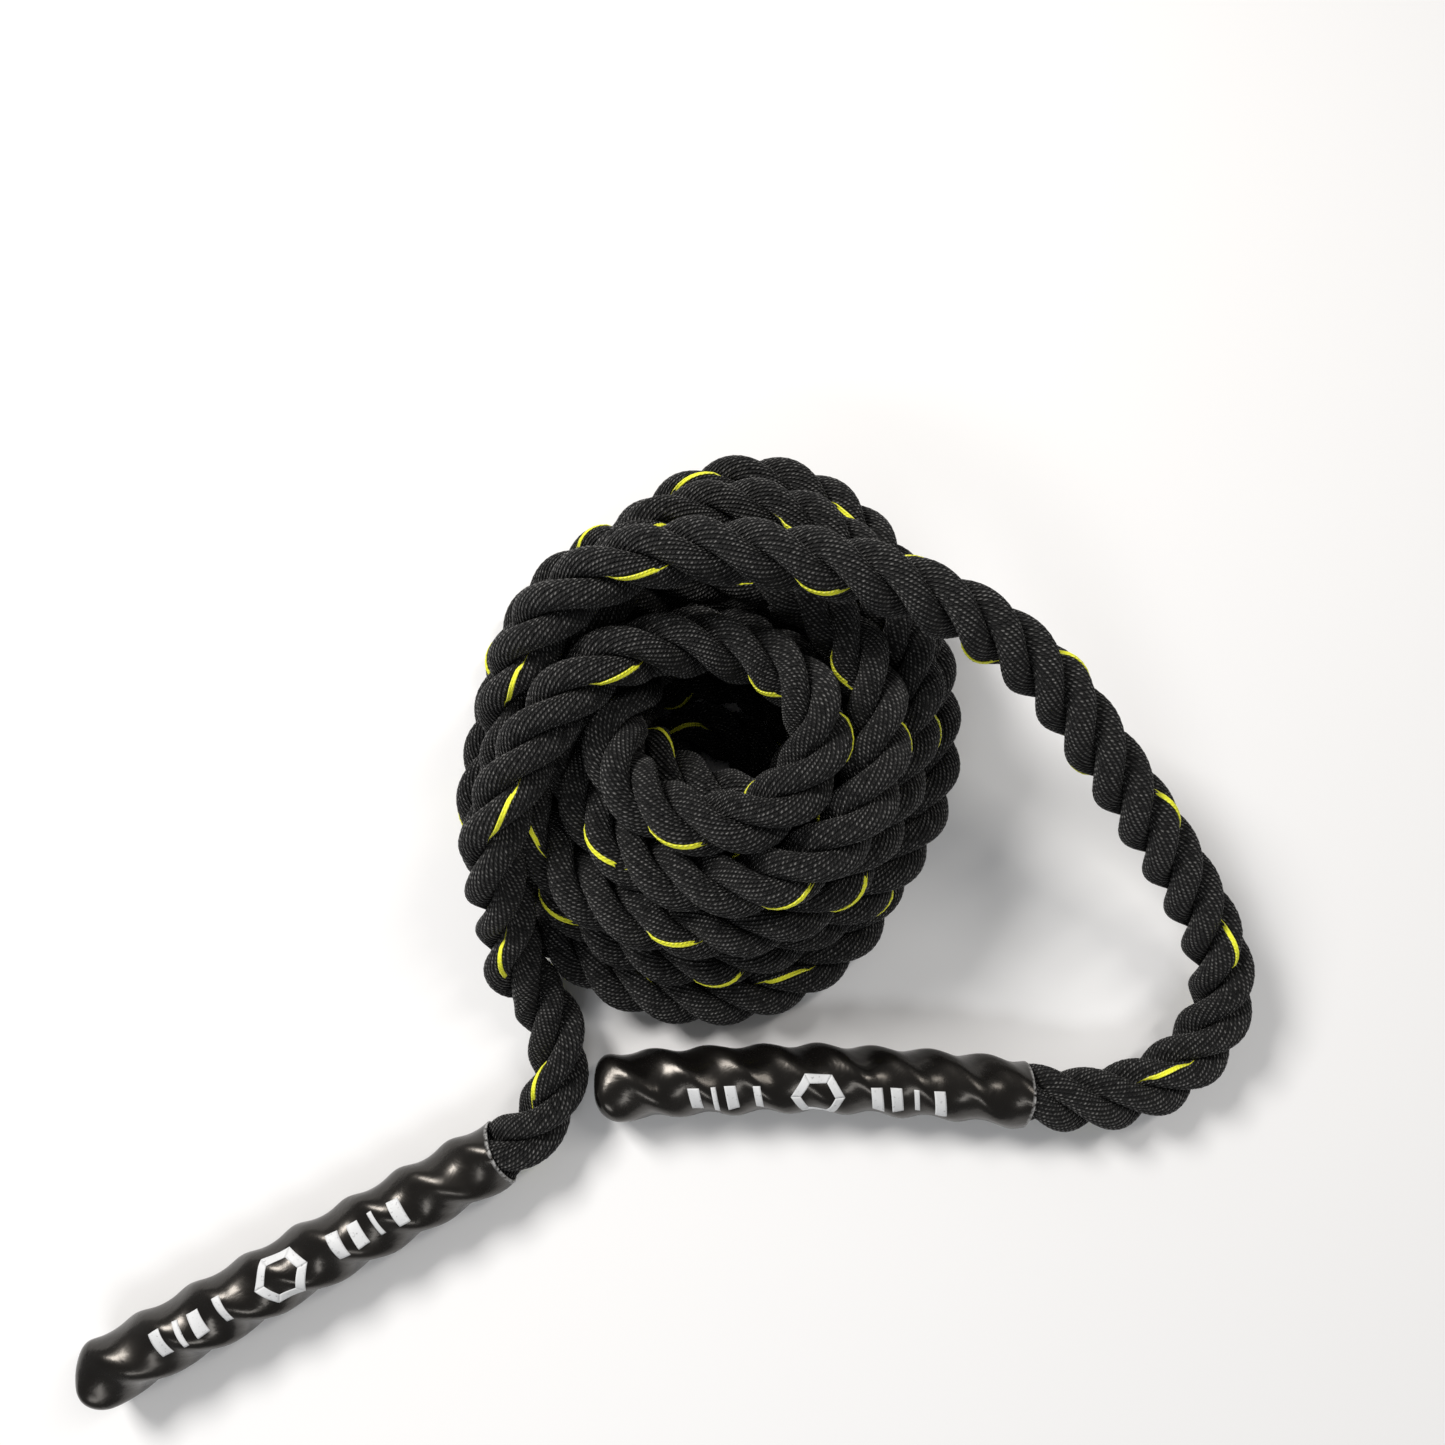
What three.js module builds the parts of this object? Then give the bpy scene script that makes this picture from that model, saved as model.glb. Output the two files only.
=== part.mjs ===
// A battle rope: thick three-strand rope, coiled on the floor, with a shrink-on grip sleeve
// over each of its two ends. Millimetres, +Z up. While it is built, the rope's places are
// counted from the middle of the coil, on the floor; the last lines move the origin to the
// bottom centre of the whole object.

import * as THREE from "three";

// ---- driving dimensions ---------------------------------------------------------------

const ROPE_DIAMETER = 38;
const ROPE_RADIUS = ROPE_DIAMETER / 2;
const LAY_LENGTH = 101;          // one full turn of a strand inside a grip sleeve
const STRAND_COUNT = 3;
const FIT_GAP = 0.4;             // clearance between pieces that touch
const MOUTH_GAP = 0.8;           // from a sleeve's mouth to the bare rope

const STRAND_RADIUS = 8.5;       // each strand, measured square to the rope
const STRAND_OFFSET = 10.2;      // from the rope's axis to a strand's axis

const SLEEVE_LENGTH = 266;
const SLEEVE_WALL = 1.6;
const SLEEVE_END_WALL = 3;       // thickness of the closed end
const SLEEVE_END_ROUND = 13;     // length of the rounded closed end
const END_SQUARENESS = 0.55;     // shape of that rounding: 1 would be an ellipse, 0 a square end
const SLEEVE_BORE_MEAN = 17.6;   // mean inner radius
const SLEEVE_LOBE = 1.5;         // how far the strands swell the sleeve either side of its mean
const SLEEVE_RADIUS = SLEEVE_BORE_MEAN + SLEEVE_LOBE + SLEEVE_WALL;
const SEAL_RADIUS = 15;          // melted rope end, inside the sleeve's closed end

const NECK_LENGTH = 76;          // rope next to a sleeve that bends when its grip is lifted
const TUBE_SIDES = 12;
const TUBE_STEP = 34;

// The coil's outer shape. It is a low heap of turns round a narrow hollow, and it leans out
// at the back, so each point of its section is given at the front and at the back, as
// [distance from the hollow's middle, height].
const COIL_FRONT = [
  [44, 0], [139, 0], [151, 7], [156, 20], [150, 54], [140, 78], [122, 102], [97, 128],
  [66, 147], [50, 147], [39, 136], [34, 100], [34, 20],
];
const COIL_BACK = [
  [62, 0], [152, 0], [164, 7], [169, 20], [173, 58], [184, 92], [172, 114], [150, 137],
  [96, 136], [66, 136], [48, 134], [52, 100], [58, 20],
];
const COIL_MIDDLE_Y = -5;        // the hollow's middle
const COIL_WIDTH_SCALE = 0.94;   // the coil is a little narrower than it is deep
const COIL_SEGMENTS = 56;

// Grip A lies straight. Grip B is bowed a little, and heading is the way from its mouth to
// its closed end, in degrees from +X.
const GRIP_A = { mouth: [-123, -247], heading: 208.1, bow: 0 };
const GRIP_B = { mouth: [199, -214], heading: 172.4, bow: -1100 };

// The rope's way from each grip to the coil, as chosen points [x, y, height of its axis].
const LEAD_A_ROUTE = [
  [-123, -247, 20.7], [-109.8, -240, 20.7], [-97, -226, 20], [-89, -202, 19.2],
  [-92, -176, 19.2], [-102, -155, 20], [-106, -143, 24],
];
const LEAD_B_ROUTE = [
  [199, -214, 20.7], [220.8, -216.9, 20.7], [250, -216, 19.4], [285, -205, 19.2], [311, -182, 22],
  [322, -153, 29], [314, -121, 41], [290, -85, 61], [259, -49, 86], [228, -14, 108],
  [197, 20, 127], [163, 44, 143], [133, 57, 154], [106, 66, 161], [80, 73, 165],
  [50, 79, 166], [20, 83, 165], [-12, 84, 163], [-44, 78, 158],
];

// ---- materials ------------------------------------------------------------------------

function plain(color, roughness) {
  return new THREE.MeshStandardMaterial({ color, roughness, metalness: 0 });
}

const ropeMaterial = plain(0x17171a, 0.8);
const sleeveMaterial = plain(0x0a0a0b, 0.25);
const sealMaterial = plain(0x0d0d0e, 0.5);

function piece(name, geometry, material) {
  const mesh = new THREE.Mesh(geometry, material);
  mesh.name = name;
  return mesh;
}

// ---- shape helpers --------------------------------------------------------------------

function circleShape(radius, sides, centreX = 0) {
  const points = [];
  for (let i = 0; i < sides; i += 1) {
    const angle = (2 * Math.PI * i) / sides;
    points.push(new THREE.Vector2(centreX + radius * Math.cos(angle), radius * Math.sin(angle)));
  }
  return new THREE.Shape(points);
}

// Moves every vertex of a geometry by a function of its position.
function reshape(geometry, move) {
  const position = geometry.attributes.position;
  const point = new THREE.Vector3();
  for (let i = 0; i < position.count; i += 1) {
    point.fromBufferAttribute(position, i);
    move(point);
    position.setXYZ(i, point.x, point.y, point.z);
  }
  geometry.computeVertexNormals();
  return geometry;
}

// Turns a point about the Y axis as far as a strand has turned at that place along it.
function layTwist(point) {
  const angle = (2 * Math.PI * point.y) / LAY_LENGTH;
  const { x, z } = point;
  point.x = x * Math.cos(angle) + z * Math.sin(angle);
  point.z = z * Math.cos(angle) - x * Math.sin(angle);
}

// A lathe splits each of its four-sided facets one way. This splits the facets of the first
// rings of its profile the other way, which follows a twisted surface that runs down Y.
function splitOtherWay(lathe, profileLength, ringCount) {
  const index = lathe.index.array;
  for (let at = 0; at < index.length; at += 6) {
    const [a, b, d, c] = index.slice(at, at + 4);
    if (a % profileLength < ringCount) {
      index.set([a, b, c, a, c, d], at);
    }
  }
}

// Bows a piece that lies along Y into an arc of the given radius, towards +X or -X.
function bow(point, radius) {
  if (radius === 0) {
    return;
  }
  const angle = point.y / radius;
  const reach = radius - point.x;
  point.y = reach * Math.sin(angle);
  point.x = radius - reach * Math.cos(angle);
}

// The part of a curve between two distances along it.
class Stretch extends THREE.Curve {
  constructor(whole, from, to) {
    super();
    this.whole = whole;
    this.from = from;
    this.to = to;
  }

  getPoint(t, target = new THREE.Vector3()) {
    const distance = this.from + (this.to - this.from) * t;
    return this.whole.getPointAt(distance / this.whole.getLength(), target);
  }
}

// A round tube along part of a curve, from one distance along it to another.
function tubeAlong(curve, from, to) {
  return new THREE.ExtrudeGeometry(circleShape(ROPE_RADIUS, TUBE_SIDES), {
    steps: Math.max(2, Math.round((to - from) / TUBE_STEP)),
    bevelEnabled: false,
    extrudePath: new Stretch(curve, from, to),
  });
}

// ---- the coil and the rope that leaves it ---------------------------------------------

function ropeCoil() {
  const front = COIL_FRONT.concat([COIL_FRONT[0]]);
  const back = COIL_BACK.concat([COIL_BACK[0]]);
  const profile = front.map(([radius, height]) => new THREE.Vector2(radius, height));
  const geometry = new THREE.LatheGeometry(profile, COIL_SEGMENTS);
  geometry.rotateX(Math.PI / 2);
  let vertex = 0;
  reshape(geometry, (point) => {
    const at = vertex % profile.length;
    const angle = Math.atan2(point.y, point.x);
    const share = (1 + Math.sin(angle)) / 2;
    const radius = THREE.MathUtils.lerp(front[at][0], back[at][0], share);
    point.x = COIL_WIDTH_SCALE * radius * Math.cos(angle);
    point.y = radius * Math.sin(angle) + COIL_MIDDLE_Y;
    point.z = THREE.MathUtils.lerp(front[at][1], back[at][1], share);
    vertex += 1;
  });
  return piece("rope_coil", geometry, ropeMaterial);
}

function ropeLead(letter, route) {
  const curve = new THREE.CatmullRomCurve3(
    route.map(([x, y, z]) => new THREE.Vector3(x, y, z)), false, "centripetal");
  curve.arcLengthDivisions = 2000;
  const neckEnd = MOUTH_GAP + NECK_LENGTH;
  return [
    piece(`neck_${letter}`, tubeAlong(curve, MOUTH_GAP, neckEnd), ropeMaterial),
    piece(`lead_${letter}`, tubeAlong(curve, neckEnd + FIT_GAP, curve.getLength()), ropeMaterial),
  ];
}

// ---- the grips ------------------------------------------------------------------------
// Each grip is built along Y from its mouth, at zero, to its closed end.

const STRAND_END = SLEEVE_LENGTH - SLEEVE_END_ROUND;
const BORE_END = SLEEVE_LENGTH - SLEEVE_END_WALL;
const GRIP_RINGS = 30;
const END_RINGS = 5;
const SLEEVE_SIDES = 24;

// The profile of a rounded end, from its full radius to its tip on the axis.
function roundedEnd(radius, from, to) {
  const points = [];
  for (let i = 0; i < END_RINGS; i += 1) {
    const angle = (Math.PI * i) / (2 * END_RINGS);
    points.push([
      radius * Math.pow(Math.cos(angle), END_SQUARENESS),
      from + (to - from) * Math.sin(angle),
    ]);
  }
  points.push([0, to]);
  return points;
}

// A boot that is open at the mouth, swollen by the three strands that turn inside it. Its
// rings lie at the same places along it as the strands' own rings, so their facets match.
function sleeveGeometry() {
  const outer = SLEEVE_BORE_MEAN + SLEEVE_WALL;
  const stations = Array.from({ length: GRIP_RINGS }, (_, i) => (STRAND_END * i) / GRIP_RINGS);
  const profile = [
    ...roundedEnd(SLEEVE_BORE_MEAN, STRAND_END, BORE_END).reverse(),
    ...stations.map((along) => [SLEEVE_BORE_MEAN, along]).reverse(),
    ...stations.map((along) => [outer, along]),
    ...roundedEnd(outer, STRAND_END, SLEEVE_LENGTH),
  ];
  const outline = profile.map(([radius, along]) => new THREE.Vector2(radius, along));
  const lathe = new THREE.LatheGeometry(outline, SLEEVE_SIDES);
  splitOtherWay(lathe, outline.length, END_RINGS + GRIP_RINGS);
  return reshape(lathe, (point) => {
    const radius = Math.hypot(point.x, point.z);
    if (radius > 1) {
      const lobe = SLEEVE_LOBE * Math.cos(STRAND_COUNT * Math.atan2(point.x, point.z));
      const grow = (radius + lobe * Math.min(1, radius / SLEEVE_BORE_MEAN)) / radius;
      point.x *= grow;
      point.z *= grow;
    }
    layTwist(point);
  });
}

function strandGeometry(index) {
  const geometry = new THREE.ExtrudeGeometry(circleShape(STRAND_RADIUS, 10, STRAND_OFFSET), {
    depth: STRAND_END,
    steps: GRIP_RINGS,
    bevelEnabled: false,
  });
  geometry.rotateX(-Math.PI / 2);
  geometry.rotateY((2 * Math.PI * index) / STRAND_COUNT - Math.PI / 2);
  return reshape(geometry, layTwist);
}

function sealGeometry() {
  const start = STRAND_END + FIT_GAP;
  const profile = [[0, start], ...roundedEnd(SEAL_RADIUS, start, BORE_END - FIT_GAP)];
  return new THREE.LatheGeometry(
    profile.map(([radius, along]) => new THREE.Vector2(radius, along)), SLEEVE_SIDES);
}

function grip(letter, place) {
  const pieces = [piece(`grip_sleeve_${letter}`, sleeveGeometry(), sleeveMaterial)];
  for (let i = 0; i < STRAND_COUNT; i += 1) {
    pieces.push(piece(`strand_end_${letter}_${i + 1}`, strandGeometry(i), ropeMaterial));
  }
  pieces.push(piece(`rope_end_seal_${letter}`, sealGeometry(), sealMaterial));

  const heading = THREE.MathUtils.degToRad(place.heading);
  const group = new THREE.Group();
  for (const mesh of pieces) {
    reshape(mesh.geometry, (point) => bow(point, place.bow));
    group.add(mesh);
  }
  group.rotation.z = heading - Math.PI / 2;
  group.position.set(place.mouth[0], place.mouth[1], SLEEVE_RADIUS);
  return group;
}

// ---- the whole object -----------------------------------------------------------------

const battleRope = new THREE.Group();
battleRope.add(ropeCoil());
battleRope.add(...ropeLead("a", LEAD_A_ROUTE));
battleRope.add(...ropeLead("b", LEAD_B_ROUTE));
battleRope.add(grip("a", GRIP_A));
battleRope.add(grip("b", GRIP_B));

// The origin moves to the bottom centre of the box round everything.
battleRope.updateMatrixWorld(true);
const box = new THREE.Box3().setFromObject(battleRope, true);
const middle = box.getCenter(new THREE.Vector3());
battleRope.position.set(-middle.x, -middle.y, -box.min.z);

export default battleRope;
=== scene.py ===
"""The looks of a coiled battle rope: thick black three-strand rope with a yellow tracer yarn,
and a glossy shrink-on grip sleeve over each end. Metres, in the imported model's frame."""

import math

import bpy
import numpy as np
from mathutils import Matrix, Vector


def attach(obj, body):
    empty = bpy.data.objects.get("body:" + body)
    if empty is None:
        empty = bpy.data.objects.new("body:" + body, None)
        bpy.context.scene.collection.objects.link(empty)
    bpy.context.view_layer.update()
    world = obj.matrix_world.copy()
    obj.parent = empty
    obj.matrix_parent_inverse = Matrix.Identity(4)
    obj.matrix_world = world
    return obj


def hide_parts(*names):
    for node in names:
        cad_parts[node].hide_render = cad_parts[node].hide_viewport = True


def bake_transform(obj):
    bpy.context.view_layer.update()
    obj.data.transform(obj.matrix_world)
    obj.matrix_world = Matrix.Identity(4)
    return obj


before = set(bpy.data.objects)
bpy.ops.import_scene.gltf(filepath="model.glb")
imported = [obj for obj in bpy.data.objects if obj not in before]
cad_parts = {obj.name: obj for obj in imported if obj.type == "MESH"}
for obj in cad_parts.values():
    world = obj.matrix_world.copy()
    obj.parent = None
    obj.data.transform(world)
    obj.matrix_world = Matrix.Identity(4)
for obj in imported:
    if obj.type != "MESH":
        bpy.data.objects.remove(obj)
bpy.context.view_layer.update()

MM = 0.001

# ---- driving dimensions ----------------------------------------------------------------

ROPE_DIAMETER = 0.038
ROPE_RADIUS = ROPE_DIAMETER / 2
LAY_LENGTH = 0.094            # one turn of a strand round the rope, before it is fitted
STRAND_COUNT = 3
STRAND_OFFSET = 0.0102        # from the rope's axis to a strand's
STRAND_HALF_DEPTH = 0.0088    # of a strand, measured out from the rope's axis
STRAND_HALF_WIDTH = 0.0096    # of a strand, measured round the rope
YARNS = 22                    # yarns that show round one strand
YARN_TURNS_PER_LAY = 1.855    # how often a yarn goes round its strand, against the lay
YARN_RELIEF = 0.0007          # how deep the grooves between yarns are
PLY_PITCH = 0.0024            # along a yarn, between the bulges of its two twisted plies
COLUMNS_PER_YARN = 2
RING_STEP = 0.0040            # along the rope, between rings of vertices
INTO_SLEEVE = 0.004           # how far the bare rope runs on inside each sleeve
NECK_LENGTH = 0.0768          # of rope behind each mouth: each end's neck
END_LENGTH = 0.26             # of the rope piece behind each mouth
TURN_PIECES = 3               # the rest of the rope is cut into this many pieces

TRACER_STRAND = 0
TRACER_START = math.radians(93)     # its angle round its strand at mouth B
TRACER_SHOWS = (-0.05, 0.30)  # cosines of that angle where it surfaces and where it is up
TRACER_HALF_WIDTH = 0.00145
TRACER_HALF_DEPTH = 0.0007
TRACER_RISE = 0.0002          # how far its middle stands over its neighbours at the crown
TRACER_SINK = 0.0016          # how far it dives from there, away from the crown
TRACER_SIDES = 10

GRIP_LAY = 0.101              # one turn of a sleeve's lobes
SLEEVE_LENGTH = 0.266
SLEEVE_WALL = 0.0016
SLEEVE_MEAN = 0.0192          # mean outer radius
SLEEVE_LOBE = 0.0015          # how far a lobe stands over the mean
SECOND_LOBE = 0.12            # of a lobe, at twice its rate, which flattens the dips
SLEEVE_END_ROUND = 0.013      # length of the closed end's dome
END_SQUARENESS = 0.55         # of that dome: 1 is an ellipse, and less is squarer
SLEEVE_AXIS_HEIGHT = 0.0207
SLEEVE_COLUMNS = 96
SLEEVE_STEP = 0.002           # between rings of vertices
SLEEVE_DOME_RINGS = 14
SLEEVE_TIP = 0.00001          # from the last ring to the end, where it would be a point
SLEEVE_LIP = 0.0006           # from the mouth to the first ring at full radius
LIP_OUTER, LIP_INNER = 0.0005, 0.0004   # what is off the outer and inner corners of its edge
SLEEVE_INSIDE = (0.0008, 0.03, 0.003)   # its inner face's first ring, end and step
UNWORN = 0.02                 # a distance from the mouth at which the rim isn't worn

# What makes a sleeve uneven, as waves: height, count round it, rate along it and phase.
SLEEVE_SWELLS = [(0.00018, 3, 61, 1.0), (0.00016, 2, -113, 0.0), (0.00012, 5, 171, 2.0)]

# The print on each sleeve: a plain hexagon ring between two rows of plain bars. The bars are
# given by their places along the sleeve from the ring's middle and their widths.
MARK_LIFT = 0.00012
MARK_THICKNESS = 0.0002
MARK_CELL = 0.0012            # side of a mesh cell at most
MARK_HEIGHT = 0.0155
MARK_LEAN = 0.0012
MARK_BARS = [-0.074, -0.062, -0.052, -0.036, 0.036, 0.048, 0.060, 0.074]
MARK_WIDTHS = [0.0070, 0.0030, 0.0070, 0.0045, 0.0070, 0.0070, 0.0030, 0.0070]
HEX_OUTER, HEX_INNER = 0.0165, 0.0105

# The middle of the coil's turns on the floor, where the routes below are counted from.
COIL_ORIGIN = np.array([0.012182, 0.102444, 0.0])

# Each grip: its mouth, the heading from its mouth to its closed end in degrees from +X, the
# radius that it is bowed to (0 is straight), how far from its mouth the print's middle is, and
# how far the print is turned round the sleeve, in degrees.
GRIPS = {
    "a": {"mouth": (-0.123, -0.247), "heading": 208.1, "bow": 0, "print": 0.136, "tilt": 0},
    "b": {"mouth": (0.199, -0.214), "heading": 172.4, "bow": -1.1, "print": 0.130, "tilt": -28},
}

# The rope's way as chosen points: from grip A over the floor to the coil, up the coil to its
# first turn, from its last turn to the top, and from grip B to the same place.
LEAD_A_ROUTE = [
    (-0.123, -0.247, 0.0207), (-0.1098, -0.240, 0.0207), (-0.097, -0.226, 0.020),
    (-0.089, -0.202, 0.0192), (-0.092, -0.176, 0.0192), (-0.102, -0.155, 0.020),
    (-0.106, -0.143, 0.024),
]
CLIMB_ROUTE = [
    (-0.107, -0.127, 0.044), (-0.109, -0.106, 0.068), (-0.111, -0.082, 0.092),
    (-0.111, -0.056, 0.114), (-0.104, -0.030, 0.131), (-0.088, -0.006, 0.141),
    (-0.064, 0.019, 0.142), (-0.034, 0.036, 0.140), (-0.002, 0.043, 0.138),
]
LEAVE_ROUTE = [
    (-0.064, -0.104, 0.078), (-0.094, -0.084, 0.072), (-0.110, -0.056, 0.076),
    (-0.113, -0.024, 0.092), (-0.106, 0.010, 0.114), (-0.092, 0.040, 0.134),
    (-0.072, 0.064, 0.150),
]
LEAD_B_ROUTE = [
    (0.199, -0.214, 0.0207), (0.2208, -0.2169, 0.0207), (0.250, -0.216, 0.0194),
    (0.285, -0.205, 0.0192), (0.311, -0.182, 0.022), (0.322, -0.153, 0.029),
    (0.314, -0.121, 0.041), (0.290, -0.085, 0.061), (0.259, -0.049, 0.086),
    (0.228, -0.014, 0.108), (0.197, 0.020, 0.127), (0.163, 0.044, 0.143),
    (0.133, 0.057, 0.154), (0.106, 0.066, 0.161), (0.080, 0.073, 0.165),
    (0.050, 0.079, 0.166), (0.020, 0.083, 0.165), (-0.012, 0.084, 0.163),
    (-0.044, 0.078, 0.158),
]

# The turns, from the top of the hollow down, out over the floor and back up the outside.
# Each is the axis's distance from the hollow's middle and its height, in millimetres, at the
# back, right, front and left of the turn.
HOLLOW_MIDDLE = (0.0, -0.005)
TURN_PHASE = -18              # degrees from those four sides to where they are measured
TURNS = [
    ((49, 137), (77, 136), (58, 132), (60, 122)),
    ((68, 100), (73, 98), (24, 92), (50, 84)),
    ((96, 44), (66, 58), (56, 52), (52, 32)),
    ((45, 19), (56, 19), (58, 19), (64, 19)),
    ((42, 19), (84, 19), (98, 19), (104, 19)),
    ((150, 19), (130, 19), (139, 19), (132, 22)),
    ((150, 57), (97, 56), (92, 53), (88, 54)),
    ((168, 95), (124, 60), (129, 54), (108, 57)),
    ((104, 122), (103, 117), (84, 113), (80, 108)),
    ((142, 128), (117, 91), (105, 87), (104, 84)),
]
FIRST_TURN, LAST_TURN = 0.04, 9.52      # where the coil starts and ends, in turns
POINTS_PER_TURN = 28

SETTLE_STEP = 0.012           # between the points that settle
SETTLE_GAP = 0.955 * ROPE_DIAMETER
SETTLE_REACH = 0.014          # how much further than the gap neighbours are looked for
SETTLE_APART = 5              # points this far apart along the rope push each other
SETTLE_ROUNDS = 400
SEARCH_ROUNDS = 8             # between one search for neighbours and the next
EARLY_SHARE = 0.7             # of the rounds that hold the points closer to the route
EARLY_HOLD, LATE_HOLD = 0.012, 0.002    # of the way back to the route, each round
SETTLE_STIFFNESS = 0.35       # of the way to a smooth bend, each round
SETTLE_SINK = 0.0001          # down, each round
EASING_ROUNDS = 25
EASING_SHARE = 0.6            # of a bend's excess that one round takes out
TIGHTEST_BEND = 0.040         # radius that the rope is eased to where it turns sharply

FLOOR_HALF_SIZE = 4.0
FLOOR_DROP = 0.0006           # below the part, so that the two never share a plane
WORLD_STRENGTH = 0.22

# Each light: its name, place, aim, the sides of its rectangle, power and colour.
LIGHTS = [
    ("key", (-1.25, 1.05, 1.6), (0.0, 0.0, 0.05), (0.65, 0.65), 50, (1.0, 0.975, 0.945)),
    ("fill", (1.2, 0.9, 1.9), (0.0, 0.0, 0.0), (0.3, 1.0), 14, (1.0, 0.965, 0.92)),
    ("front", (-0.3, -1.5, 1.6), (0.0, -0.1, 0.0), (1.2, 0.4), 10, (0.97, 0.985, 1.0)),
]

CAMERA_PLACE = (0.012, -0.118, 0.6703)  # from COIL_ORIGIN
CAMERA_TILT = 12              # degrees from straight down
SENSOR_WIDTH = 36.0
FOCAL_SHARE = 1000 / 1445     # focal length over image width


# ---- the rope's centreline -------------------------------------------------------------

def smooth_line(points, pieces=8):
    """A centripetal Catmull-Rom curve through the points."""
    p = np.array(points, float)
    p = np.vstack([2 * p[0] - p[1], p, 2 * p[-1] - p[-2]])
    out = []
    for i in range(1, len(p) - 2):
        a, b, c, d = p[i - 1:i + 3]
        ab, bc, cd = (max(np.linalg.norm(v) ** 0.5, 1e-6) for v in (b - a, c - b, d - c))
        leave = ((b - a) / ab - (c - a) / (ab + bc) + (c - b) / bc) * bc
        arrive = ((c - b) / bc - (d - b) / (bc + cd) + (d - c) / cd) * bc
        for u in np.arange(pieces) / pieces:
            out.append((2 * u**3 - 3 * u**2 + 1) * b + (u**3 - 2 * u**2 + u) * leave
                       + (3 * u**2 - 2 * u**3) * c + (u**3 - u**2) * arrive)
    out.append(p[-2])
    return np.array(out)


def line_length(line):
    return float(np.linalg.norm(np.diff(line, axis=0), axis=1).sum())


def evenly(line, step):
    """The same line with its points that far apart."""
    along = np.concatenate([[0], np.cumsum(np.linalg.norm(np.diff(line, axis=0), axis=1))])
    count = max(2, round(along[-1] / step))
    places = np.linspace(0, along[-1], count + 1)
    return np.stack([np.interp(places, along, line[:, k]) for k in range(3)], axis=1)


def coil_turns():
    """The turns of the coil, as points in metres."""
    sides = np.array([side for turn in TURNS for side in turn], float) * MM
    points = []
    for place in np.arange(FIRST_TURN * 4, LAST_TURN * 4, 4 / POINTS_PER_TURN):
        i = int(place)
        u = place - i
        a, b, c, d = (sides[min(max(j, 0), len(sides) - 1)] for j in range(i - 1, i + 3))
        reach, height = 0.5 * (2 * b + (c - a) * u + (2 * a - 5 * b + 4 * c - d) * u * u
                               + (3 * b - a - 3 * c + d) * u**3)
        angle = math.radians(90 + TURN_PHASE) - place * math.pi / 2
        points.append((HOLLOW_MIDDLE[0] + reach * math.cos(angle),
                       HOLLOW_MIDDLE[1] + reach * math.sin(angle), height))
    return points


def eased_bend(p):
    """How far each point moves to ease the bends that are too tight for the rope."""
    bend = np.zeros_like(p)
    bend[1:-1] = (p[:-2] + p[2:]) / 2 - p[1:-1]
    size = np.maximum(np.linalg.norm(bend, axis=1), 1e-9)
    spacing = np.linalg.norm(np.gradient(p, axis=0), axis=1)
    excess = np.maximum(size - spacing**2 / (2 * TIGHTEST_BEND), 0) / size
    return EASING_SHARE * excess[:, None] * bend


def settle(line, held):
    """Lets the turns push each other apart and sink, the way loose rope beds down."""
    start, p = line.copy(), line.copy()
    count = len(p)
    free = (~held).astype(float)[:, None]
    one, two = np.triu_indices(count, SETTLE_APART)
    for turn in range(SETTLE_ROUNDS):
        if turn % SEARCH_ROUNDS == 0:
            apart = p[two] - p[one]
            near = (apart * apart).sum(1) < (SETTLE_GAP + SETTLE_REACH) ** 2
            a, b = one[near], two[near]
        apart = p[b] - p[a]
        distance = np.maximum(np.sqrt((apart * apart).sum(1)), 1e-6)
        press = np.maximum(SETTLE_GAP - distance, 0)
        push = apart * (press / distance)[:, None] * 0.5
        touching = (press > 0).astype(float)
        move = np.stack([np.bincount(b, push[:, k], count) - np.bincount(a, push[:, k], count)
                         for k in range(3)], axis=1)
        touches = np.bincount(a, touching, count) + np.bincount(b, touching, count)
        p = p + free * move / np.sqrt(np.maximum(touches, 1))[:, None]
        bend = np.zeros_like(p)
        bend[2:-2] = (4 * p[1:-3] + 4 * p[3:-1] - p[:-4] - p[4:]) / 6 - p[2:-2]
        p = p + SETTLE_STIFFNESS * free * bend
        p = p + free * eased_bend(p)
        hold = EARLY_HOLD if turn < EARLY_SHARE * SETTLE_ROUNDS else LATE_HOLD
        p = p + hold * free * (start - p)
        p[:, 2] -= SETTLE_SINK * free[:, 0]
        p[:, 2] = np.where(held, p[:, 2], np.maximum(p[:, 2], ROPE_RADIUS))
    for _ in range(EASING_ROUNDS):
        p = p + free * eased_bend(p)
    return p


def round_corners(line, step, pieces=6):
    """A finer, smooth line through the settled points."""
    p = np.vstack([2 * line[0] - line[1], line, 2 * line[-1] - line[-2]])
    p[2:-2] = 0.25 * p[1:-3] + 0.5 * p[2:-2] + 0.25 * p[3:-1]
    out = []
    for u in np.arange(pieces) / pieces:
        a, b, c, d = p[:-3], p[1:-2], p[2:-1], p[3:]
        out.append(0.5 * (2 * b + (c - a) * u + (2 * a - 5 * b + 4 * c - d) * u * u
                          + (3 * b - a - 3 * c + d) * u**3))
    fine = np.stack(out, axis=1).reshape(-1, 3)
    return evenly(np.vstack([fine, p[-2]]), step)


def rope_line():
    """The whole rope's centreline from grip A's mouth to grip B's, in the model's frame."""
    lead_a, lead_b = smooth_line(LEAD_A_ROUTE[:-1]), smooth_line(LEAD_B_ROUTE)
    route = LEAD_A_ROUTE + CLIMB_ROUTE + coil_turns() + LEAVE_ROUTE + LEAD_B_ROUTE[::-1]
    line = evenly(smooth_line(route), SETTLE_STEP)
    along = np.arange(len(line)) * SETTLE_STEP
    held = (along < line_length(lead_a)) | (along > along[-1] - line_length(lead_b))
    return round_corners(settle(line, held), RING_STEP) + COIL_ORIGIN


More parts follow.
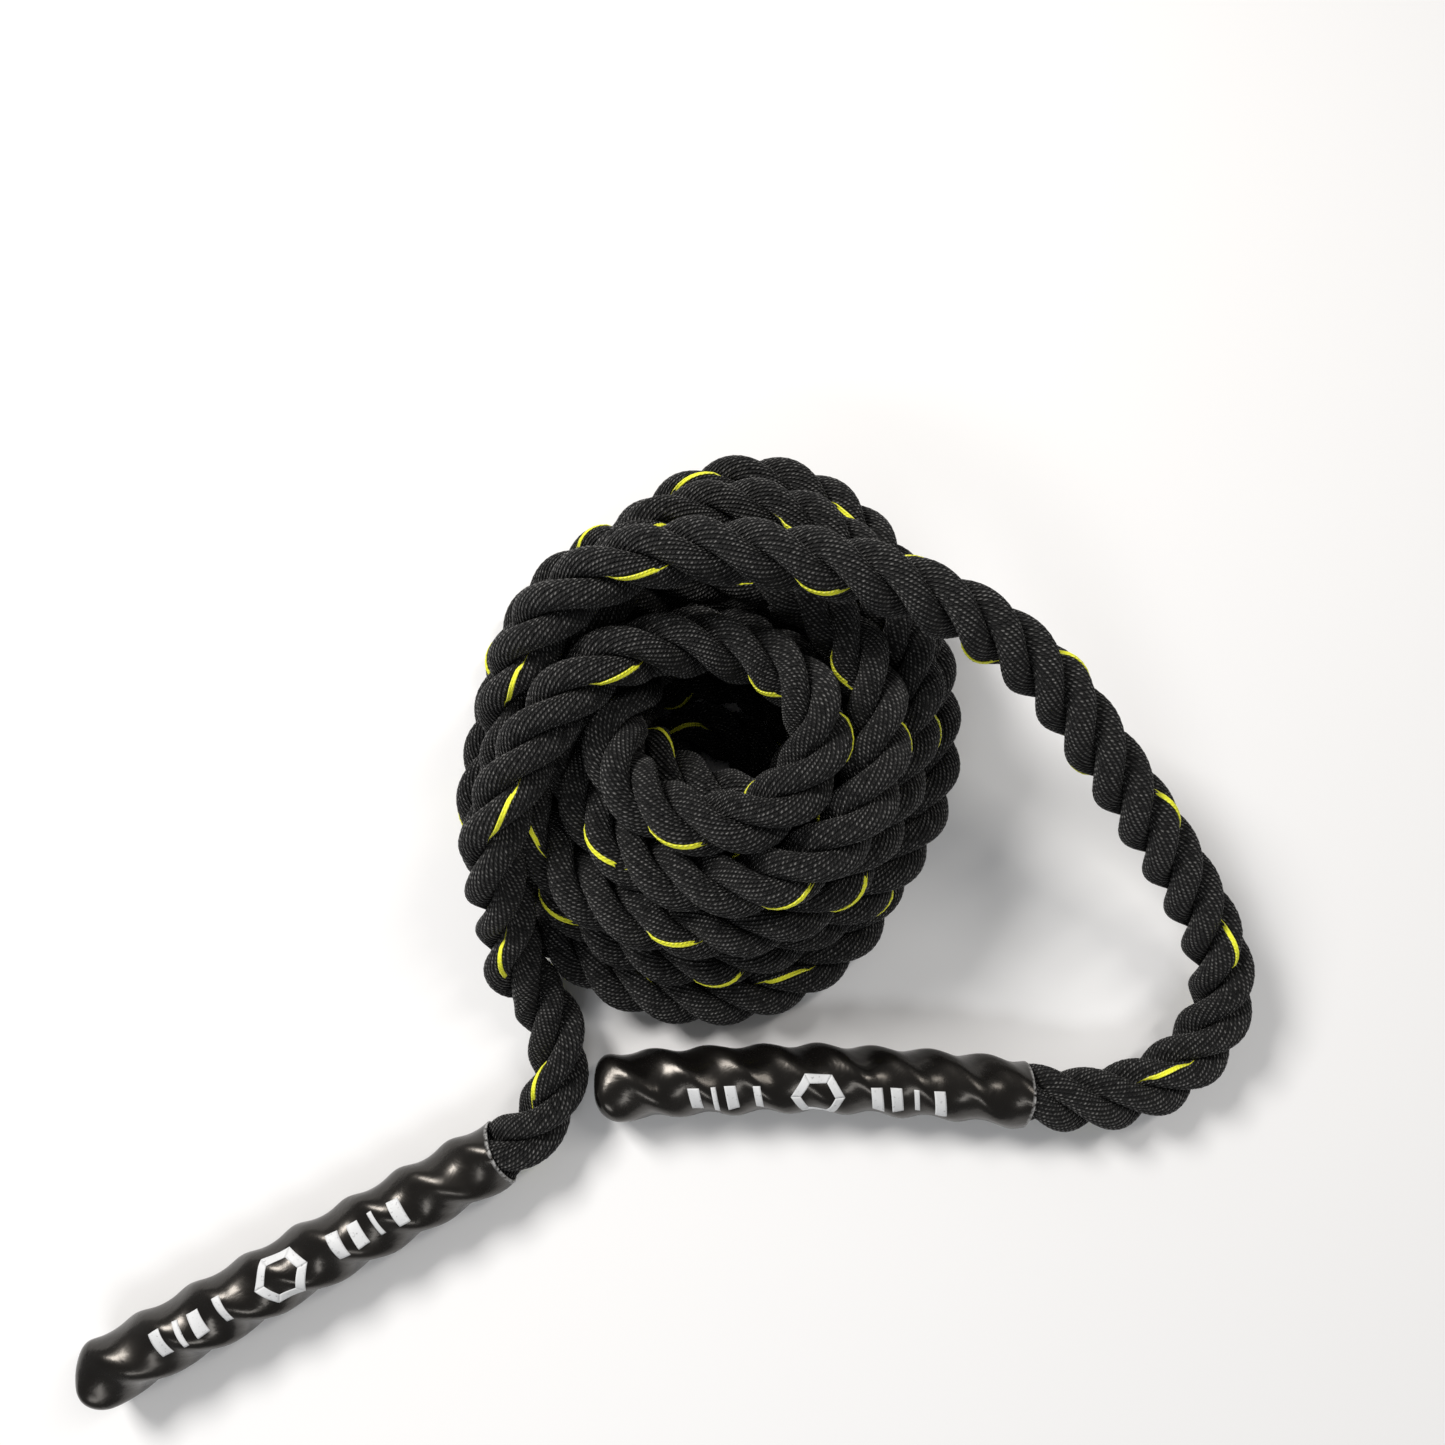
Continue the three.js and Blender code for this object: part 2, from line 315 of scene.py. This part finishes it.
def unit(v):
    return v / np.maximum(np.linalg.norm(v, axis=-1, keepdims=True), 1e-12)


def headings(line):
    """A line's direction at each of its points."""
    return unit(np.gradient(line, axis=0))


def line_sides(line):
    """The upper side and the right of a line that is nowhere upright."""
    ahead = headings(line)
    up = unit(np.array([0.0, 0.0, 1.0]) - ahead[:, 2:3] * ahead)
    return up, np.cross(ahead, up)


# ---- meshes ----------------------------------------------------------------------------

def grid_normals(points):
    """Outward normals of a tube given as rings x columns of points."""
    along = np.gradient(points, axis=0)
    around = np.roll(points, -1, axis=1) - np.roll(points, 1, axis=1)
    return unit(np.cross(around, along))


def tube_parts(points, normals, uv_scale, uv_start, first_vertex):
    """Vertices, quads, triangles, UVs and normals of one closed tube with capped ends."""
    rings, columns, _ = points.shape
    index = first_vertex + np.arange(rings * columns).reshape(rings, columns)
    right = np.roll(index, -1, axis=1)
    quads = np.stack([index[:-1], right[:-1], right[1:], index[1:]], axis=-1).reshape(-1, 4)
    u, v = np.arange(columns), np.arange(rings)
    uu = np.stack([u, u + 1, u + 1, u], axis=-1)[None].repeat(rings - 1, axis=0)
    vv = np.stack([v[:-1], v[:-1], v[1:], v[1:]], axis=-1)[:, None].repeat(columns, axis=1)
    uv = np.stack([uu * uv_scale[0] + uv_start[0], vv * uv_scale[1] + uv_start[1]], axis=-1)
    verts, norms, tris = [points.reshape(-1, 3)], [normals.reshape(-1, 3)], []
    loops_uv = [uv.reshape(-1, 2)]
    base = first_vertex + rings * columns
    for ring, side in ((0, -1), (rings - 1, 1)):
        middle = points[ring].mean(axis=0)
        out = unit((points[ring] - points[ring - side]).mean(axis=0))
        verts.append(np.vstack([points[ring], middle]))
        norms.append(np.repeat(out[None], columns + 1, axis=0))
        edge = base + np.arange(columns)
        after = base + (np.arange(columns) + 1) % columns
        centre = np.full(columns, base + columns)
        order = (after, edge, centre) if side < 0 else (edge, after, centre)
        tris.append(np.stack(order, axis=-1))
        place = np.stack([u * uv_scale[0] + uv_start[0],
                          np.full(columns, ring * uv_scale[1] + uv_start[1])], axis=-1)
        loops_uv.append(np.repeat(place, 3, axis=0))
        base += columns + 1
    return np.vstack(verts), quads, np.vstack(tris), np.vstack(loops_uv), np.vstack(norms)


def add_piece(name, parts, material, uv_name):
    """One object from the parts of one or more tubes."""
    verts, quads, tris, uvs, normals = zip(*parts)
    faces = [face for pair in zip(quads, tris) for some in pair for face in some.tolist()]
    mesh = bpy.data.meshes.new(name)
    mesh.from_pydata(np.vstack(verts).tolist(), [], faces)
    layer = mesh.uv_layers.new(name=uv_name)
    layer.data.foreach_set("uv", np.vstack(uvs).astype(np.float32).ravel())
    mesh.polygons.foreach_set("use_smooth", np.ones(len(mesh.polygons), bool))
    mesh.normals_split_custom_set_from_vertices(np.vstack(normals).tolist())
    mesh.materials.append(material)
    obj = bpy.data.objects.new(name, mesh)
    bpy.context.scene.collection.objects.link(obj)
    return obj


# ---- materials -------------------------------------------------------------------------

class Nodes:
    """Short calls for building a node material."""

    def __init__(self, name):
        self.material = bpy.data.materials.new(name)
        self.material.use_nodes = True
        self.tree = self.material.node_tree
        self.tree.nodes.clear()
        out = self.tree.nodes.new("ShaderNodeOutputMaterial")
        self.shader = self.tree.nodes.new("ShaderNodeBsdfPrincipled")
        self.join(self.shader.outputs[0], out.inputs["Surface"])

    def join(self, source, socket):
        self.tree.links.new(source, socket)

    def put(self, value, socket):
        if isinstance(value, bpy.types.NodeSocket):
            self.join(value, socket)
        elif value is not None:
            socket.default_value = value

    def node(self, kind, **settings):
        made = self.tree.nodes.new(kind)
        for key, value in settings.items():
            setattr(made, key, value)
        return made

    def math(self, operation, a, b=None, c=None):
        made = self.node("ShaderNodeMath", operation=operation)
        for value, socket in zip((a, b, c), made.inputs):
            self.put(value, socket)
        return made.outputs[0]

    def uv(self, name):
        source = self.node("ShaderNodeUVMap", uv_map=name)
        split = self.node("ShaderNodeSeparateXYZ")
        self.join(source.outputs[0], split.inputs[0])
        return split.outputs[0], split.outputs[1]

    def place(self):
        return self.node("ShaderNodeTexCoord").outputs["Object"]

    def vector(self, x, y, z=0.0):
        made = self.node("ShaderNodeCombineXYZ")
        for value, socket in zip((x, y, z), made.inputs):
            self.put(value, socket)
        return made.outputs[0]

    def noise(self, vector, scale, detail=2.0, roughness=0.5, distortion=0.0):
        made = self.node("ShaderNodeTexNoise")
        self.put(vector, made.inputs["Vector"])
        made.inputs["Scale"].default_value = scale
        made.inputs["Detail"].default_value = detail
        made.inputs["Roughness"].default_value = roughness
        made.inputs["Distortion"].default_value = distortion
        return made.outputs["Fac"]

    def white(self, w):
        made = self.node("ShaderNodeTexWhiteNoise", noise_dimensions="1D")
        self.put(w, made.inputs["W"])
        return made.outputs["Value"]

    def remap(self, value, low, high, to_low=0.0, to_high=1.0):
        made = self.node("ShaderNodeMapRange")
        self.put(value, made.inputs["Value"])
        made.inputs["From Min"].default_value = low
        made.inputs["From Max"].default_value = high
        made.inputs["To Min"].default_value = to_low
        made.inputs["To Max"].default_value = to_high
        return made.outputs["Result"]

    def blend(self, share, a, b):
        made = self.node("ShaderNodeMix", data_type="RGBA")
        self.put(share, made.inputs["Factor"])
        for value, socket in ((a, made.inputs[6]), (b, made.inputs[7])):
            self.put((*value, 1.0) if isinstance(value, tuple) else value, socket)
        return made.outputs[2]

    def bump(self, height, distance, strength=1.0):
        made = self.node("ShaderNodeBump")
        made.inputs["Strength"].default_value = strength
        made.inputs["Distance"].default_value = distance
        self.put(height, made.inputs["Height"])
        return made.outputs[0]

    def finish(self, **sockets):
        for name, value in sockets.items():
            value = (*value, 1.0) if isinstance(value, tuple) else value
            self.put(value, self.shader.inputs[name.replace("_", " ")])
        return self.material


def yarn_material(name, dark, light, glint, glint_share, relief):
    """Twisted multifilament yarn. U counts yarns and V is metres along the rope. dark is its
    colour in the grooves, with painted shade, light that on its crest, with a painted highlight,
    and glint that of the painted glints on its brightest bulges."""
    n = Nodes(name)
    u, v = n.uv("yarn")
    across = n.math("FRACT", u)
    yarn = n.math("FLOOR", u)
    chance = n.white(yarn)
    crest = n.math("SINE", n.math("MULTIPLY", across, math.pi))
    # The plies bulge in turn along the yarn, and each bulge leans across it.
    phase = n.math("ADD", n.math("MULTIPLY", v, 1 / PLY_PITCH),
                   n.math("MULTIPLY", u, 0.62))
    ply = n.math("MULTIPLY_ADD", n.math("SINE", n.math("MULTIPLY", phase, 2 * math.pi)),
                 0.5, 0.5)
    fibre = n.noise(n.vector(n.math("MULTIPLY", u, 9.0), n.math("MULTIPLY", v, 260.0)),
                    1.0, 3.0, 0.6)
    patch = n.noise(n.place(), 38.0, 3.0, 0.55)
    body = n.math("MULTIPLY", crest, n.math("MULTIPLY_ADD", ply, 0.5, 0.5))
    height = n.math("ADD", body, n.math("MULTIPLY", fibre, 0.35))
    # Darker in the grooves and lighter on the crests, by body: painted shade and painted
    # highlight. fibre, patch and chance add random tone.
    shade_and_tone = n.math("MULTIPLY", n.remap(body, 0.3, 0.95), n.remap(fibre, 0.3, 0.7, 0.45, 1.0))
    shade_and_tone = n.math("MULTIPLY", shade_and_tone, n.remap(patch, 0.3, 0.7, 0.75, 1.15))
    shade_and_tone = n.math("MULTIPLY", shade_and_tone, n.remap(chance, 0, 1, 0.7, 1.15))
    colour = n.blend(n.math("POWER", shade_and_tone, 1.9), dark, light)
    # Each bulge gets a random painted glint, a painted highlight. The multiplier keeps the yarns
    # apart.
    bulge = n.math("FLOOR", n.math("ADD", phase, 0.25))
    luck = n.white(n.math("MULTIPLY_ADD", yarn, 91.7, bulge))
    painted_glint_mask = n.math("MULTIPLY", n.remap(luck, 0.1, 1.0), n.remap(body, 0.55, 0.95))
    colour = n.blend(n.math("MULTIPLY", painted_glint_mask, glint_share), colour, glint)
    return n.finish(
        Base_Color=colour,
        Roughness=n.remap(body, 0.2, 0.9, 0.85, 0.34),
        Normal=n.bump(height, relief),
        Sheen_Weight=0.02,
        Sheen_Roughness=0.4,
        Specular_IOR_Level=0.4,
    )


# Each yarn's colours: dark with painted shade in the grooves, light with a painted highlight on
# the crests, and glint for painted glints.
rope_yarn = yarn_material(
    "rope_yarn", dark=(0.0003, 0.0003, 0.0004), light=(0.036, 0.035, 0.036),
    glint=(0.37, 0.365, 0.355), glint_share=0.6, relief=0.0026)
tracer_yarn = yarn_material(
    "tracer_yarn", dark=(0.86, 0.88, 0.03), light=(1.0, 1.0, 0.12),
    glint=(1.0, 1.0, 0.40), glint_share=0.4, relief=0.0006)


def sleeve_material():
    """Glossy heat-shrunk plastic: faint waviness, rubbed patches and a scuffed rim."""
    n = Nodes("grip_sleeve")
    _, v = n.uv("sleeve")
    place = n.place()
    waves = n.noise(place, 70.0, 3.0, 0.55, 0.4)
    haze = n.noise(place, 28.0, 4.0, 0.6)
    specks = n.noise(place, 900.0, 2.0, 0.6)
    rim = n.remap(v, 0.0022, 0.0004)
    rim = n.math("MULTIPLY", rim, n.remap(n.noise(place, 420.0, 2.0), 0.38, 0.58))
    colour = n.blend(haze, (0.0012, 0.0012, 0.0013), (0.006, 0.0052, 0.0046))
    colour = n.blend(rim, colour, (0.42, 0.42, 0.42))
    rough = n.math("ADD", n.remap(haze, 0.3, 0.7, 0.20, 0.32),
                   n.math("MULTIPLY", n.remap(specks, 0.62, 0.8), 0.08))
    rough = n.math("ADD", rough, n.math("MULTIPLY", rim, 0.4))
    height = n.math("ADD", waves, n.math("MULTIPLY", specks, 0.012))
    return n.finish(
        Base_Color=colour,
        Roughness=rough,
        Normal=n.bump(height, 0.0012, 0.35),
        Specular_IOR_Level=0.5,
        Specular_Tint=(1.0, 0.93, 0.85),
    )


def print_material():
    """Flat light ink with small worn gaps."""
    n = Nodes("print")
    place = n.place()
    worn = n.noise(place, 520.0, 3.0, 0.65)
    colour = n.blend(n.remap(worn, 0.60, 0.72), (0.66, 0.67, 0.68), (0.30, 0.30, 0.31))
    return n.finish(
        Base_Color=colour,
        Roughness=n.remap(worn, 0.3, 0.7, 0.4, 0.6),
        Normal=n.bump(worn, 0.0001, 0.4),
        Specular_IOR_Level=0.4,
    )


def melted_material():
    """Yarn ends melted into a hard, lumpy black plug."""
    n = Nodes("melted_yarn")
    lumps = n.noise(n.place(), 320.0, 4.0, 0.6, 0.8)
    return n.finish(
        Base_Color=n.blend(lumps, (0.008, 0.008, 0.009), (0.03, 0.029, 0.028)),
        Roughness=n.remap(lumps, 0.3, 0.7, 0.3, 0.6),
        Normal=n.bump(lumps, 0.001, 0.7),
    )


def inner_strand_material():
    """The strands inside a sleeve, which have no yarn UVs: a fine grain of pressed yarn."""
    n = Nodes("inner_strand")
    grain = n.noise(n.place(), 700.0, 2.0, 0.6)
    return n.finish(
        Base_Color=n.blend(grain, (0.004, 0.004, 0.0045), (0.03, 0.03, 0.033)),
        Roughness=n.remap(grain, 0.3, 0.7, 0.45, 0.7),
        Normal=n.bump(grain, 0.0006, 0.8),
    )


# ---- the rope --------------------------------------------------------------------------

line = rope_line()
rope_length = line_length(line)
# The lay is fitted so that a strand is on top at both mouths, under a swell of each sleeve.
lay = rope_length / (round(STRAND_COUNT * rope_length / LAY_LENGTH) / STRAND_COUNT)
# The line runs on by this many rings into each sleeve.
extra = math.ceil(INTO_SLEEVE / RING_STEP)
ahead = headings(line)
before = line[0] - ahead[0] * RING_STEP * np.arange(extra, 0, -1)[:, None]
after = line[-1] + ahead[-1] * RING_STEP * np.arange(1, extra + 1)[:, None]
line = np.vstack([before, line, after])
up, right = line_sides(line)
# From mouth A to each ring, and from there to mouth B in turns of the lay.
distance = (np.arange(len(line)) - extra) * line_length(line) / (len(line) - 1)
turns_to_b = (rope_length - distance) / lay


def ring_points(theta, phi, swell=0.0):
    """Points on a strand: theta turns it round the rope and phi goes round the strand.
    Both have one row for each ring of the line."""
    radial = np.cos(theta)[..., None] * up[:, None] + np.sin(theta)[..., None] * right[:, None]
    round_ = np.cos(theta)[..., None] * right[:, None] - np.sin(theta)[..., None] * up[:, None]
    deep = (STRAND_HALF_DEPTH + swell) * np.cos(phi)
    wide = (STRAND_HALF_WIDTH + swell) * np.sin(phi)
    return line[:, None] + (STRAND_OFFSET + deep)[..., None] * radial + wide[..., None] * round_


def strand_angle(strand):
    return 2 * math.pi * (strand / STRAND_COUNT - turns_to_b)


def yarn_angle(start):
    return start + YARN_TURNS_PER_LAY * 2 * math.pi * turns_to_b


COLUMNS = YARNS * COLUMNS_PER_YARN
strand_points, strand_normals = [], []
for strand in range(STRAND_COUNT):
    theta = strand_angle(strand)
    start = 2 * math.pi * np.arange(COLUMNS) / COLUMNS
    phi = start[None, :] + yarn_angle(0.0)[:, None]
    groove = (np.arange(COLUMNS) % COLUMNS_PER_YARN == 0) * YARN_RELIEF
    points = ring_points(theta[:, None] + 0 * phi, phi, -groove[None, :])
    strand_points.append(points)
    strand_normals.append(grid_normals(points))

theta = strand_angle(TRACER_STRAND)[:, None]
tracer_phi = yarn_angle(TRACER_START)[:, None]
surfacing, surfaced = TRACER_SHOWS
crown = np.clip((np.cos(tracer_phi) - surfacing) / (surfaced - surfacing), 0, 1)
sink = TRACER_SINK * (1 - crown * crown * (3 - 2 * crown))
tracer_line = ring_points(theta, tracer_phi, TRACER_RISE - sink)[:, 0]
# Outside is away from a smaller strand within the strand.
outside = unit(tracer_line - ring_points(theta, tracer_phi, -STRAND_HALF_DEPTH * 0.7)[:, 0])
tracer_ahead = headings(tracer_line)
outside = unit(outside - (outside * tracer_ahead).sum(1, keepdims=True) * tracer_ahead)
tracer_side = np.cross(tracer_ahead, outside)
turn = 2 * math.pi * np.arange(TRACER_SIDES) / TRACER_SIDES
tracer_points = (tracer_line[:, None]
                 + TRACER_HALF_DEPTH * np.cos(turn)[None, :, None] * outside[:, None]
                 + TRACER_HALF_WIDTH * np.sin(turn)[None, :, None] * tracer_side[:, None])
tracer_normals = grid_normals(tracer_points)

# The rope is cut into pieces that meet ring to ring: one at each end, and the rest, which stays
# with the coil. Each span is a piece's first and last ring.
first = int(round(END_LENGTH / RING_STEP)) + extra
last = len(line) - 1 - first
cuts = np.linspace(first, last, TURN_PIECES + 1).round().astype(int)
spans = {"rope_end_a": (0, cuts[0]), "rope_end_b": (cuts[-1], len(line) - 1)}
for k in range(TURN_PIECES):
    spans[f"rope_turns_{k + 1}"] = (cuts[k], cuts[k + 1])


def make_rope_piece(name, low, high):
    """The three strands from one ring to another."""
    parts, total = [], 0
    step = float(distance[1] - distance[0])
    for strand in range(STRAND_COUNT):
        part = tube_parts(strand_points[strand][low:high + 1],
                          strand_normals[strand][low:high + 1],
                          (1 / COLUMNS_PER_YARN, step),
                          (strand * YARNS, float(distance[low])), total)
        total += len(part[0])
        parts.append(part)
    return add_piece(name, parts, rope_yarn, "yarn")


def make_tracer_piece(name, low, high):
    """The tracer yarn from one ring to another. Its UVs are three yarns wide."""
    step = float(distance[1] - distance[0])
    part = tube_parts(tracer_points[low:high + 1], tracer_normals[low:high + 1],
                      (3 / TRACER_SIDES, step), (0, float(distance[low])), 0)
    return add_piece(name, [part], tracer_yarn, "yarn")


# Each end piece's grip, and where its neck starts and its mouth.
necks = {
    "rope_end_a": ("grip_a", line[np.searchsorted(distance, NECK_LENGTH)], line[extra]),
    "rope_end_b": ("grip_b", line[np.searchsorted(distance, rope_length - NECK_LENGTH)],
                   line[len(line) - 1 - extra]),
}
stands_for = {
    "rope_end_a": ("neck_a", "lead_a"),
    "rope_end_b": ("neck_b",),
    "rope_turns_1": ("rope_coil",),
    "rope_turns_3": ("lead_b",),
}
for name, (low, high) in spans.items():
    rope = make_rope_piece(name, low, high)
    tracer = make_tracer_piece(name.replace("rope", "tracer"), low, high)
    for obj, slot in ((rope, "rope_yarn"), (tracer, "tracer_yarn")):
        if name in necks:
            grip, neck_start, mouth = necks[name]
            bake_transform(obj)
        else:
            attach(obj, "coil")
    if name in stands_for:
        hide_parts(*stands_for[name])
    path = line[low:high + 1]
    if name == "rope_end_b":
        path = path[::-1]


# ---- the grip sleeves ------------------------------------------------------------------

def sleeve_surface(around, along, lift=0.0):
    """Points on a sleeve's outside, before it is bowed and placed. around is the angle from
    the top towards +X, and along is the distance from the mouth."""
    start = SLEEVE_LENGTH - SLEEVE_END_ROUND
    over = np.clip((along - start) / SLEEVE_END_ROUND, 0, 1)
    shrink = np.power(np.clip(1 - over**2, 0, 1), END_SQUARENESS / 2)
    swirl = around - 2 * math.pi * along / GRIP_LAY
    # The plastic bridges the dips between strands, so they are flatter than the swells.
    lobe = np.cos(STRAND_COUNT * swirl) + SECOND_LOBE * np.cos(2 * STRAND_COUNT * swirl)
    uneven = sum(height * np.sin(count * around + rate * along + phase)
                 for height, count, rate, phase in SLEEVE_SWELLS)
    radius = SLEEVE_MEAN + SLEEVE_LOBE * lobe / (1 + SECOND_LOBE) + uneven
    radius = radius * shrink + lift
    return np.stack([radius * np.sin(around), along + 0 * around, radius * np.cos(around)],
                    axis=-1)


def place_grip(points, grip):
    """Bows and places points that were made along +Y from the mouth, as the CAD does."""
    p = points.copy()
    if grip["bow"]:
        angle = p[..., 1] / grip["bow"]
        reach = grip["bow"] - p[..., 0]
        p[..., 1] = reach * np.sin(angle)
        p[..., 0] = grip["bow"] - reach * np.cos(angle)
    turn = math.radians(grip["heading"] - 90)
    x = p[..., 0] * math.cos(turn) - p[..., 1] * math.sin(turn)
    y = p[..., 0] * math.sin(turn) + p[..., 1] * math.cos(turn)
    x = x + grip["mouth"][0] + COIL_ORIGIN[0]
    y = y + grip["mouth"][1] + COIL_ORIGIN[1]
    return np.stack([x, y, p[..., 2] + SLEEVE_AXIS_HEIGHT], axis=-1)


def make_sleeve(letter, grip, material):
    """A sleeve with a wall: rings from inside it, out round the lip and on to its closed end."""
    around = (2 * math.pi * np.arange(SLEEVE_COLUMNS) / SLEEVE_COLUMNS)[None, :]
    straight = SLEEVE_LENGTH - SLEEVE_END_ROUND
    quarter = np.linspace(0, 0.5 * math.pi, SLEEVE_DOME_RINGS)[:-1]
    stations = np.concatenate([np.arange(SLEEVE_LIP, straight, SLEEVE_STEP),
                               straight + SLEEVE_END_ROUND * np.sin(quarter),
                               [SLEEVE_LENGTH - SLEEVE_TIP]])
    outer = sleeve_surface(around, stations[:, None] + 0 * around)
    lip = sleeve_surface(around, 0 * around, -LIP_OUTER)
    inner_lip = sleeve_surface(around, 0 * around, -SLEEVE_WALL + LIP_INNER)
    inside = [sleeve_surface(around, 0 * around + y, -SLEEVE_WALL)
              for y in np.arange(*SLEEVE_INSIDE)]
    placed = place_grip(np.concatenate(inside[::-1] + [inner_lip, lip, outer]), grip)
    # V is the distance from the mouth, by which the rim is worn.
    uv_along = np.concatenate([np.full(len(inside), UNWORN), [0.0, 0.0], stations])
    part = list(tube_parts(placed, grid_normals(placed), (1 / SLEEVE_COLUMNS, 1.0),
                           (0, 0), 0))
    v = np.stack([uv_along[:-1], uv_along[:-1], uv_along[1:], uv_along[1:]], axis=-1)
    quads = (len(placed) - 1) * SLEEVE_COLUMNS
    part[3][:quads * 4, 1] = np.repeat(v[:, None], SLEEVE_COLUMNS, axis=1).ravel()
    part[3][quads * 4:, 1] = UNWORN
    # The first cap would close the bore, so only the closed end keeps its cap.
    part[2] = part[2][SLEEVE_COLUMNS:]
    part[3] = np.vstack([part[3][:quads * 4], part[3][quads * 4 + 3 * SLEEVE_COLUMNS:]])
    sleeve = add_piece(f"sleeve_{letter}", [part], material, "sleeve")
    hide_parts(f"grip_sleeve_{letter}")
    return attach(sleeve, f"grip_{letter}")


def mark_patches():
    """The marks' four-sided patches, as corners (along, across) from the print's middle."""
    patches = []
    half = MARK_HEIGHT / 2
    for middle, width in zip(MARK_BARS, MARK_WIDTHS):
        low, high = middle - width / 2, middle + width / 2
        patches.append([(low - MARK_LEAN, -half), (high - MARK_LEAN, -half),
                        (high + MARK_LEAN, half), (low + MARK_LEAN, half)])
    turns = np.radians(60 * np.arange(7))
    corners = np.stack([np.cos(turns), np.sin(turns)], axis=1)
    for a, b in zip(corners[:-1], corners[1:]):
        patches.append([HEX_INNER * a, HEX_OUTER * a, HEX_OUTER * b, HEX_INNER * b])
    return patches


def make_print(letter, grip, material):
    """Thin ink patches that follow the sleeve and read from its closed end to its mouth."""
    verts, faces = [], []
    for patch in mark_patches():
        a, b, c, d = (np.array(p) for p in patch)
        cells_u = max(2, math.ceil(np.linalg.norm(b - a) / MARK_CELL))
        cells_v = max(2, math.ceil(np.linalg.norm(d - a) / MARK_CELL))
        s = np.linspace(0, 1, cells_u + 1)[:, None, None]
        t = np.linspace(0, 1, cells_v + 1)[None, :, None]
        flat = (1 - s) * (1 - t) * a + s * (1 - t) * b + s * t * c + (1 - s) * t * d
        along = grip["print"] - flat[..., 0]
        around = math.radians(grip["tilt"]) - flat[..., 1] / SLEEVE_MEAN
        points = place_grip(sleeve_surface(around, along, MARK_LIFT), grip)
        index = len(verts) + np.arange(points[..., 0].size).reshape(points.shape[:2])
        verts += points.reshape(-1, 3).tolist()
        quads = np.stack([index[:-1, :-1], index[:-1, 1:], index[1:, 1:], index[1:, :-1]], -1)
        faces += quads.reshape(-1, 4).tolist()
    mesh = bpy.data.meshes.new(f"print_{letter}")
    mesh.from_pydata(verts, [], faces)
    mesh.polygons.foreach_set("use_smooth", np.ones(len(mesh.polygons), bool))
    mesh.materials.append(material)
    mesh.update()
    ink = bpy.data.objects.new(f"print_{letter}", mesh)
    bpy.context.scene.collection.objects.link(ink)
    thick = ink.modifiers.new("thickness", "SOLIDIFY")
    thick.thickness = MARK_THICKNESS
    thick.offset = 0
    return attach(ink, f"grip_{letter}")


sleeve_plastic = sleeve_material()
ink_material = print_material()
for letter, grip in GRIPS.items():
    make_sleeve(letter, grip, sleeve_plastic)
for letter, grip in GRIPS.items():
    make_print(letter, grip, ink_material)

# The CAD nodes inside the sleeves keep their shapes and get better materials.
inner_strand, melted = inner_strand_material(), melted_material()
for letter in GRIPS:
    finishes = {f"strand_end_{letter}_{k + 1}": inner_strand for k in range(STRAND_COUNT)}
    finishes[f"rope_end_seal_{letter}"] = melted
    for name, material in finishes.items():
        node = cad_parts[name]
        node.data.materials.clear()
        node.data.materials.append(material)


# ---- floor, light and camera -----------------------------------------------------------

def make_floor():
    corners = [(x * FLOOR_HALF_SIZE, y * FLOOR_HALF_SIZE, -FLOOR_DROP)
               for x, y in ((-1, -1), (1, -1), (1, 1), (-1, 1))]
    mesh = bpy.data.meshes.new("floor")
    mesh.from_pydata(corners, [], [(0, 1, 2, 3)])
    floor = bpy.data.objects.new("floor", mesh)
    bpy.context.scene.collection.objects.link(floor)
    pale = Nodes("floor").finish(
        Base_Color=(0.88, 0.88, 0.885), Roughness=0.7, Specular_IOR_Level=0.2)
    mesh.materials.append(pale)


def add_light(name, place, target, size, power, colour):
    data = bpy.data.lights.new(name, "AREA")
    data.shape = "RECTANGLE"
    data.size, data.size_y = size
    data.energy = power
    data.color = colour
    lamp = bpy.data.objects.new(name, data)
    bpy.context.scene.collection.objects.link(lamp)
    lamp.location = place
    aim = np.array(target) - np.array(place)
    lamp.rotation_euler = Vector(aim).to_track_quat("-Z", "Y").to_euler()


make_floor()
for light in LIGHTS:
    add_light(*light)

world = bpy.data.worlds.new("studio")
world.use_nodes = True
background = world.node_tree.nodes["Background"]
background.inputs["Color"].default_value = (1.0, 1.0, 1.0, 1.0)
background.inputs["Strength"].default_value = WORLD_STRENGTH
scene = bpy.context.scene
scene.world = world
scene.view_settings.view_transform = "Standard"
scene.view_settings.look = "None"

camera_data = bpy.data.cameras.new("camera")
camera_data.sensor_width = SENSOR_WIDTH
camera_data.lens = SENSOR_WIDTH * FOCAL_SHARE
camera_data.clip_start = 0.01
camera = bpy.data.objects.new("camera", camera_data)
scene.collection.objects.link(camera)
camera.location = COIL_ORIGIN + np.array(CAMERA_PLACE)
camera.rotation_euler = (math.radians(CAMERA_TILT), 0, 0)
scene.camera = camera
